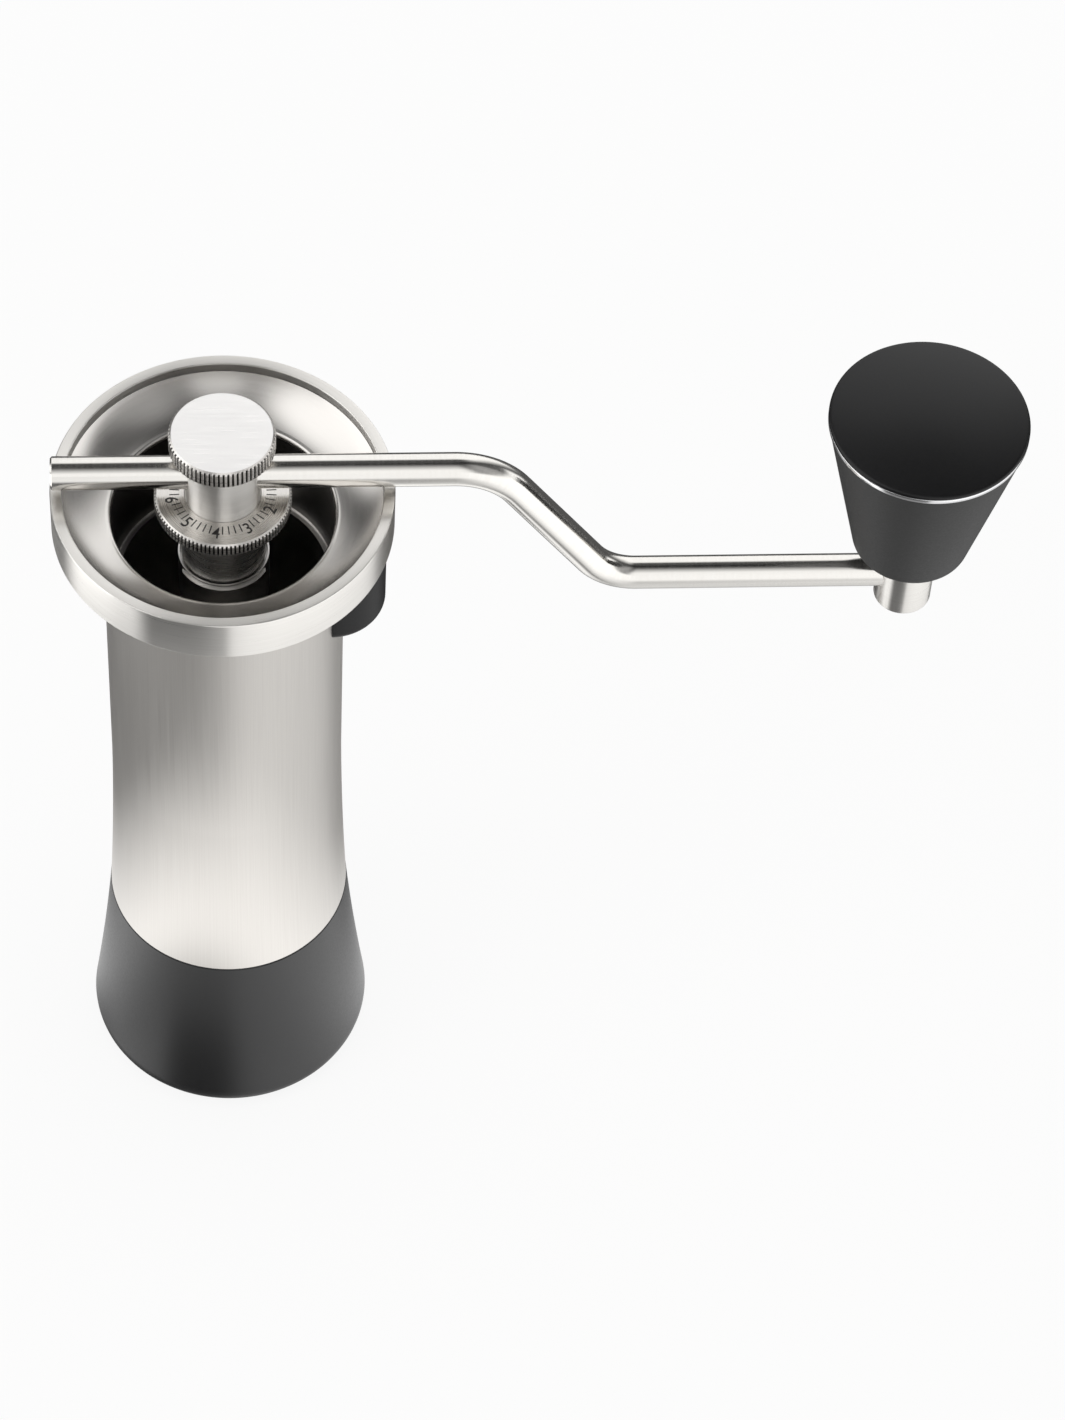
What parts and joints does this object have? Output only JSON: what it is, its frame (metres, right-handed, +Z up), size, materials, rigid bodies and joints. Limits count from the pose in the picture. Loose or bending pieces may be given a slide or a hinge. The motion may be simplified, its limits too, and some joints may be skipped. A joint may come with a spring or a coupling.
{
  "type": "hand crank coffee grinder",
  "caption": "Hand crank coffee grinder: brushed steel tube with a funnel top, flared black catch cup, conical burrs, adjusting dial and a cranked arm with a cone-shaped black knob.",
  "frame": {"origin": "centre of the flat base that the grinder stands on", "axes": "+Z up along the drive shaft, +X along the crank arm"},
  "size_m": [0.2144, 0.076, 0.2305],
  "materials": {
    "black_plastic": "moulded, fine grain, satin",
    "brushed_steel": "stainless, brushed along the tube or around the turning",
    "polished_steel": "stainless, spun and polished",
    "rod_steel": "stainless, drawn and satin polished",
    "trim_aluminium": "turned bright",
    "machined_steel": "machined",
    "burr_steel": "hardened, ground teeth",
    "bearing_steel": "ground and polished",
    "spring_steel": "oiled spring wire and stampings",
    "black_screws": "black oxide",
    "brass": "turned",
    "magnet": "nickel plated"
  },
  "bodies": {
    "cup": {"catch_cup": "black_plastic", "cup_magnets": "magnet"},
    "housing": {"body_tube": "brushed_steel", "hopper_ring": "brushed_steel", "funnel": "polished_steel", "thumb_rest": "black_plastic", "thumb_rest_screws": "black_screws", "upper_bearing_bridge": "polished_steel", "lower_bearing_bridge": "machined_steel", "upper_circlip": "spring_steel", "lower_circlip": "spring_steel", "upper_bearing_outer_race": "bearing_steel", "lower_bearing_outer_race": "bearing_steel", "outer_burr": "burr_steel", "burr_lock_ring": "machined_steel"},
    "upper_cage": {"upper_bearing_cage": "brass", "upper_bearing_balls": "bearing_steel"},
    "lower_cage": {"lower_bearing_cage": "brass", "lower_bearing_balls": "bearing_steel"},
    "spindle": {"upper_bearing_inner_race": "bearing_steel", "lower_bearing_inner_race": "bearing_steel", "spring_seat_washer": "machined_steel"},
    "dial": {"adjusting_dial": "brushed_steel"},
    "shaft": {"drive_shaft": "machined_steel", "inner_burr": "burr_steel", "burr_washer": "machined_steel", "burr_bolt": "black_screws", "preload_spring": "spring_steel", "spring_thrust_washer": "machined_steel", "crank_head": "brushed_steel", "crank_head_pin": "machined_steel"},
    "clamp_pad": {"clamp_pad": "brass"},
    "clamp_knob": {"clamp_knob": "brushed_steel"},
    "arm": {"crank_arm": "rod_steel", "handle_post": "rod_steel", "handle_spindle": "machined_steel", "knob_retaining_washer": "machined_steel", "knob_retaining_screw": "black_screws"},
    "knob": {"knob_grip": "black_plastic", "knob_trim_ring": "trim_aluminium", "knob_cap": "black_plastic", "knob_bush_lower": "brass", "knob_bush_upper": "brass"}
  },
  "joints": [
    {"name": "housing_lift", "type": "slide", "parent": "cup", "child": "housing", "axis": [0, 0, 1], "range_m": [0, 0.07]},
    {"name": "crank_spin", "type": "hinge", "parent": "housing", "child": "spindle", "pos_m": [0, 0, 0.1], "axis": [0, 0, 1], "continuous": true},
    {"name": "upper_cage_spin", "type": "hinge", "parent": "housing", "child": "upper_cage", "pos_m": [0, 0, 0.1765], "axis": [0, 0, 1], "continuous": true},
    {"name": "lower_cage_spin", "type": "hinge", "parent": "housing", "child": "lower_cage", "pos_m": [0, 0, 0.1028], "axis": [0, 0, 1], "continuous": true},
    {"name": "dial_turn", "type": "hinge", "parent": "spindle", "child": "dial", "pos_m": [0, 0, 0.2], "axis": [0, 0, -1], "range_deg": [-541, 181]},
    {"name": "burr_gap", "type": "slide", "parent": "spindle", "child": "shaft", "axis": [0, 0, 1], "range_m": [-0.0015, 0.0005], "deforming": ["preload_spring"]},
    {"name": "clamp_lift", "type": "slide", "parent": "shaft", "child": "clamp_pad", "axis": [0, 0, 1], "range_m": [-0.00001, 0.00301]},
    {"name": "clamp_turn", "type": "hinge", "parent": "clamp_pad", "child": "clamp_knob", "pos_m": [0, 0, 0.22], "axis": [0, 0, 1], "range_deg": [0, 1080]},
    {"name": "arm_slide", "type": "slide", "parent": "shaft", "child": "arm", "axis": [1, 0, 0], "range_m": [-0.012, 0.046]},
    {"name": "knob_spin", "type": "hinge", "parent": "arm", "child": "knob", "pos_m": [0.15425, 0, 0.2], "axis": [0, 0, 1], "continuous": true}
  ],
  "couplings": [
    {"joint": "dial_turn", "follows": "burr_gap", "rad_per_m": 6283.2},
    {"joint": "clamp_lift", "follows": "clamp_turn", "m_per_rad": 0.00015915},
    {"joint": "upper_cage_spin", "follows": "crank_spin", "ratio": 0.4008},
    {"joint": "lower_cage_spin", "follows": "crank_spin", "ratio": 0.4008}
  ]
}
